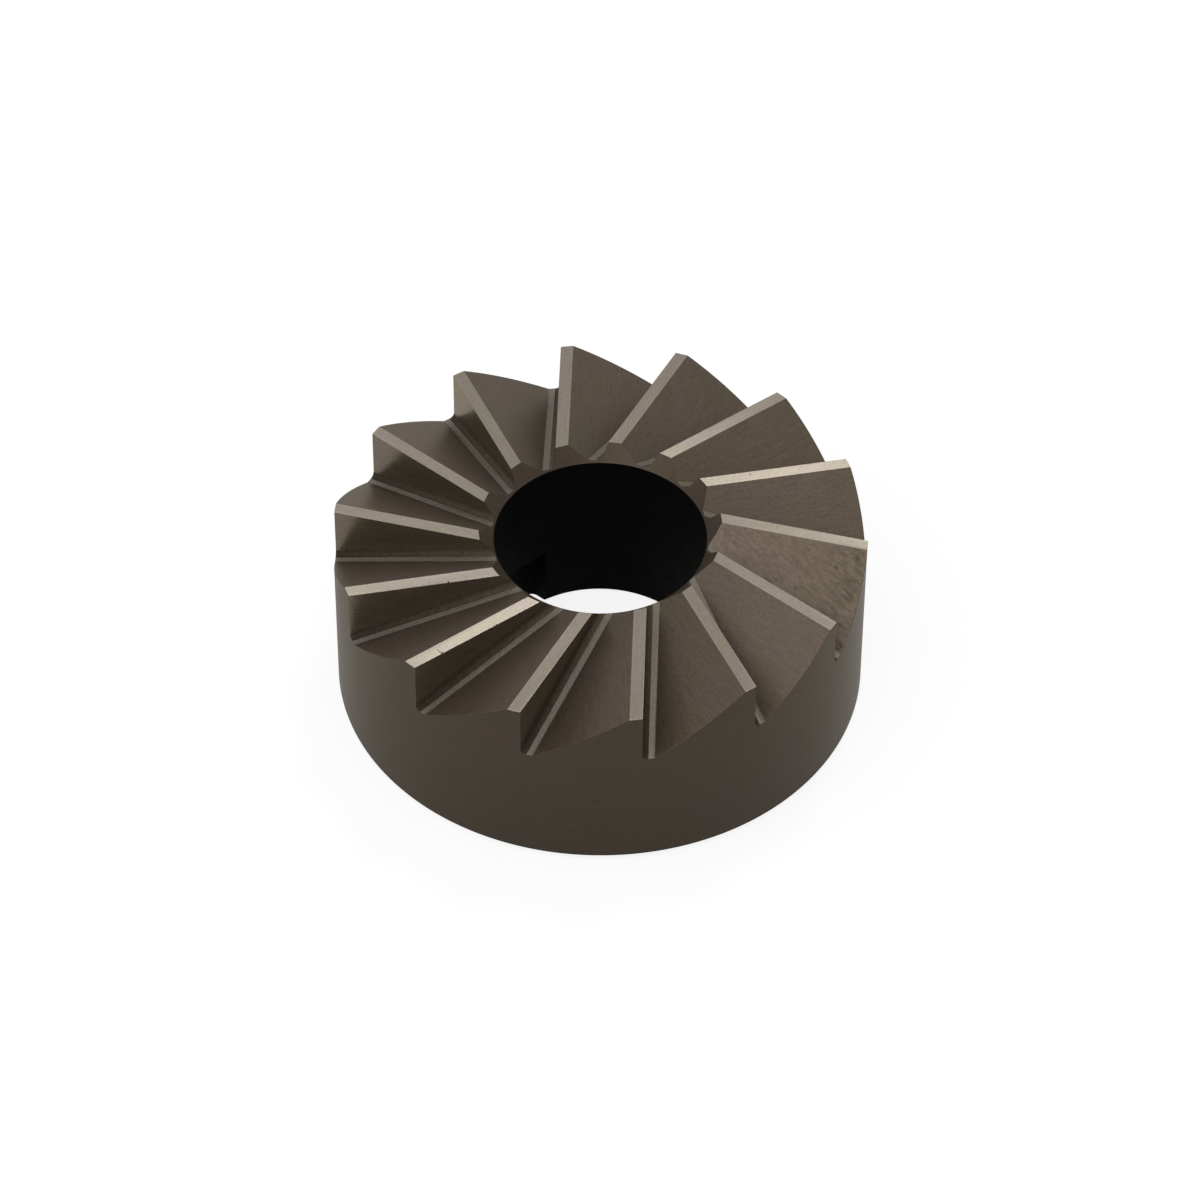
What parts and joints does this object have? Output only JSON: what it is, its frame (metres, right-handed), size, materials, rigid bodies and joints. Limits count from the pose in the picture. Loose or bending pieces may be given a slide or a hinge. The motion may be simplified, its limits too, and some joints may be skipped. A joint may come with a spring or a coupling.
{
  "type": "facing cutter",
  "caption": "Solid steel ring with straight ground face teeth, turned on a pilot shaft through its bore to cut the end of a tube flat and square.",
  "frame": {"origin": "centre of the flat back face, on the axis of the bore", "axes": "+Z along the bore from the back face towards the teeth, +X along the drive slot and along one land"},
  "size_m": [0.05, 0.05, 0.0187],
  "materials": {
    "tool_steel": "satin grey-brown hardened tool steel, brighter where the lands are ground, blackened in the bore"
  },
  "bodies": {
    "root": {"facing_cutter": "tool_steel"}
  },
  "joints": []
}
